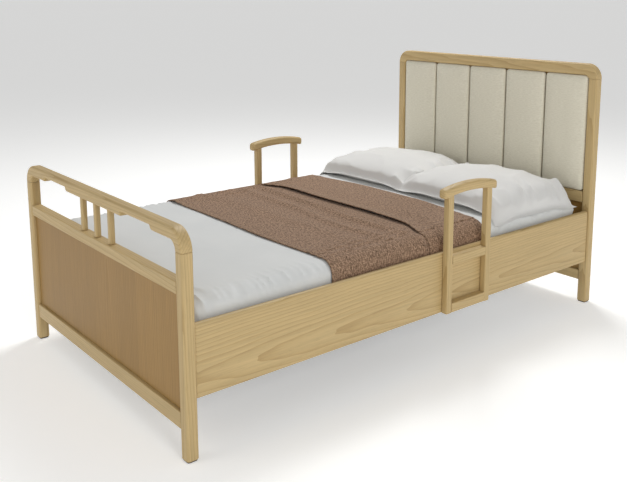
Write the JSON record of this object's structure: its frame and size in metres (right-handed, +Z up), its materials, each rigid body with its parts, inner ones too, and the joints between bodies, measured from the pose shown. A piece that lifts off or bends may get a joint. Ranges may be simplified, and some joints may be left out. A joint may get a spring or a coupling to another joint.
{
  "type": "adjustable hospital bed",
  "caption": "Wooden care bed with a padded headboard, a spindled footboard, side assist handles, mattress, pillows and throw, over a steel deck whose back, thigh and calf parts move.",
  "frame": {"origin": "on the floor below the middle of the bed", "axes": "+Z up, +Y along the bed towards the headboard, +X across the bed to the right side seen from the foot"},
  "size_m": [1.302, 2.142, 1.108],
  "materials": {
    "oak": "satin lacquered pale oak, straight and cathedral grain",
    "oak_panel": "satin lacquered oak veneer, vertical grain",
    "linen": "woven linen-look upholstery, matte",
    "cotton": "smooth cotton sheet, matte",
    "pillow_cotton": "smooth cotton pillowcase, matte",
    "knit": "heather knit throw, matte",
    "deck_steel": "powder-coated grey steel",
    "bright_steel": "bright plated steel",
    "motor_plastic": "dark grey moulded housing, matte",
    "glide_plastic": "dark plastic, matte"
  },
  "bodies": {
    "bed_frame": {"footboard_post_left": "oak", "footboard_post_right": "oak", "footboard_glide_left": "glide_plastic", "footboard_glide_right": "glide_plastic", "footboard_top_rail": "oak", "footboard_spindle_1": "oak", "footboard_spindle_2": "oak", "footboard_spindle_3": "oak", "footboard_mid_rail": "oak", "footboard_bottom_rail": "oak", "footboard_panel": "oak_panel", "headboard_post_left": "oak", "headboard_post_right": "oak", "headboard_glide_left": "glide_plastic", "headboard_glide_right": "glide_plastic", "headboard_top_rail": "oak", "headboard_mid_rail": "oak", "headboard_bottom_rail": "oak", "headboard_lower_panel": "oak_panel", "headboard_backing": "oak_panel", "headboard_pad_1": "linen", "headboard_pad_2": "linen", "headboard_pad_3": "linen", "headboard_pad_4": "linen", "headboard_pad_5": "linen", "side_rail_left": "oak", "side_rail_right": "oak", "handle_left_upright_foot": "oak", "handle_left_upright_head": "oak", "handle_left_upper_rail": "oak", "handle_left_lower_rail": "oak", "handle_left_arm": "oak", "handle_right_upright_foot": "oak", "handle_right_upright_head": "oak", "handle_right_upper_rail": "oak", "handle_right_lower_rail": "oak", "handle_right_arm": "oak", "subframe": "deck_steel", "seat_section": "deck_steel", "back_hinge_rod": "bright_steel", "thigh_hinge_rod": "bright_steel", "back_drive": "motor_plastic", "thigh_drive": "motor_plastic", "control_box": "motor_plastic", "mattress_seat": "cotton", "throw": "knit"},
    "back_rest": {"back_section": "deck_steel", "mattress_back": "cotton", "pillow_left": "pillow_cotton", "pillow_right": "pillow_cotton"},
    "thigh_rest": {"thigh_section": "deck_steel", "knee_hinge_rod": "bright_steel", "mattress_thigh": "cotton"},
    "calf_rest": {"calf_section": "deck_steel", "calf_glide_left": "glide_plastic", "calf_glide_right": "glide_plastic", "mattress_calf": "cotton"},
    "back_push": {"back_push_rod": "bright_steel"},
    "thigh_push": {"thigh_push_rod": "bright_steel"}
  },
  "joints": [
    {"name": "backrest_hinge", "type": "hinge", "parent": "bed_frame", "child": "back_rest", "pos_m": [0, 0.2, 0.315], "axis": [1, 0, 0], "range_deg": [0, 65], "deforming": ["mattress_seat", "throw"]},
    {"name": "thigh_hinge", "type": "hinge", "parent": "bed_frame", "child": "thigh_rest", "pos_m": [0, -0.075, 0.315], "axis": [-1, 0, 0], "range_deg": [0, 30], "deforming": ["mattress_seat", "throw"]},
    {"name": "knee_hinge", "type": "hinge", "parent": "thigh_rest", "child": "calf_rest", "pos_m": [0, -0.405, 0.315], "axis": [-1, 0, 0], "range_deg": [-47.2, 0], "deforming": ["throw"]},
    {"name": "back_push_slide", "type": "slide", "parent": "bed_frame", "child": "back_push", "axis": [0, 1, 0], "range_m": [0, 0.0892]},
    {"name": "thigh_push_slide", "type": "slide", "parent": "bed_frame", "child": "thigh_push", "axis": [0, -1, 0], "range_m": [0, 0.043]}
  ],
  "couplings": [
    {"joint": "knee_hinge", "follows": "thigh_hinge", "ratio": -1.573},
    {"joint": "back_push_slide", "follows": "backrest_hinge", "m_per_rad": 0.07863},
    {"joint": "thigh_push_slide", "follows": "thigh_hinge", "m_per_rad": 0.08212}
  ]
}
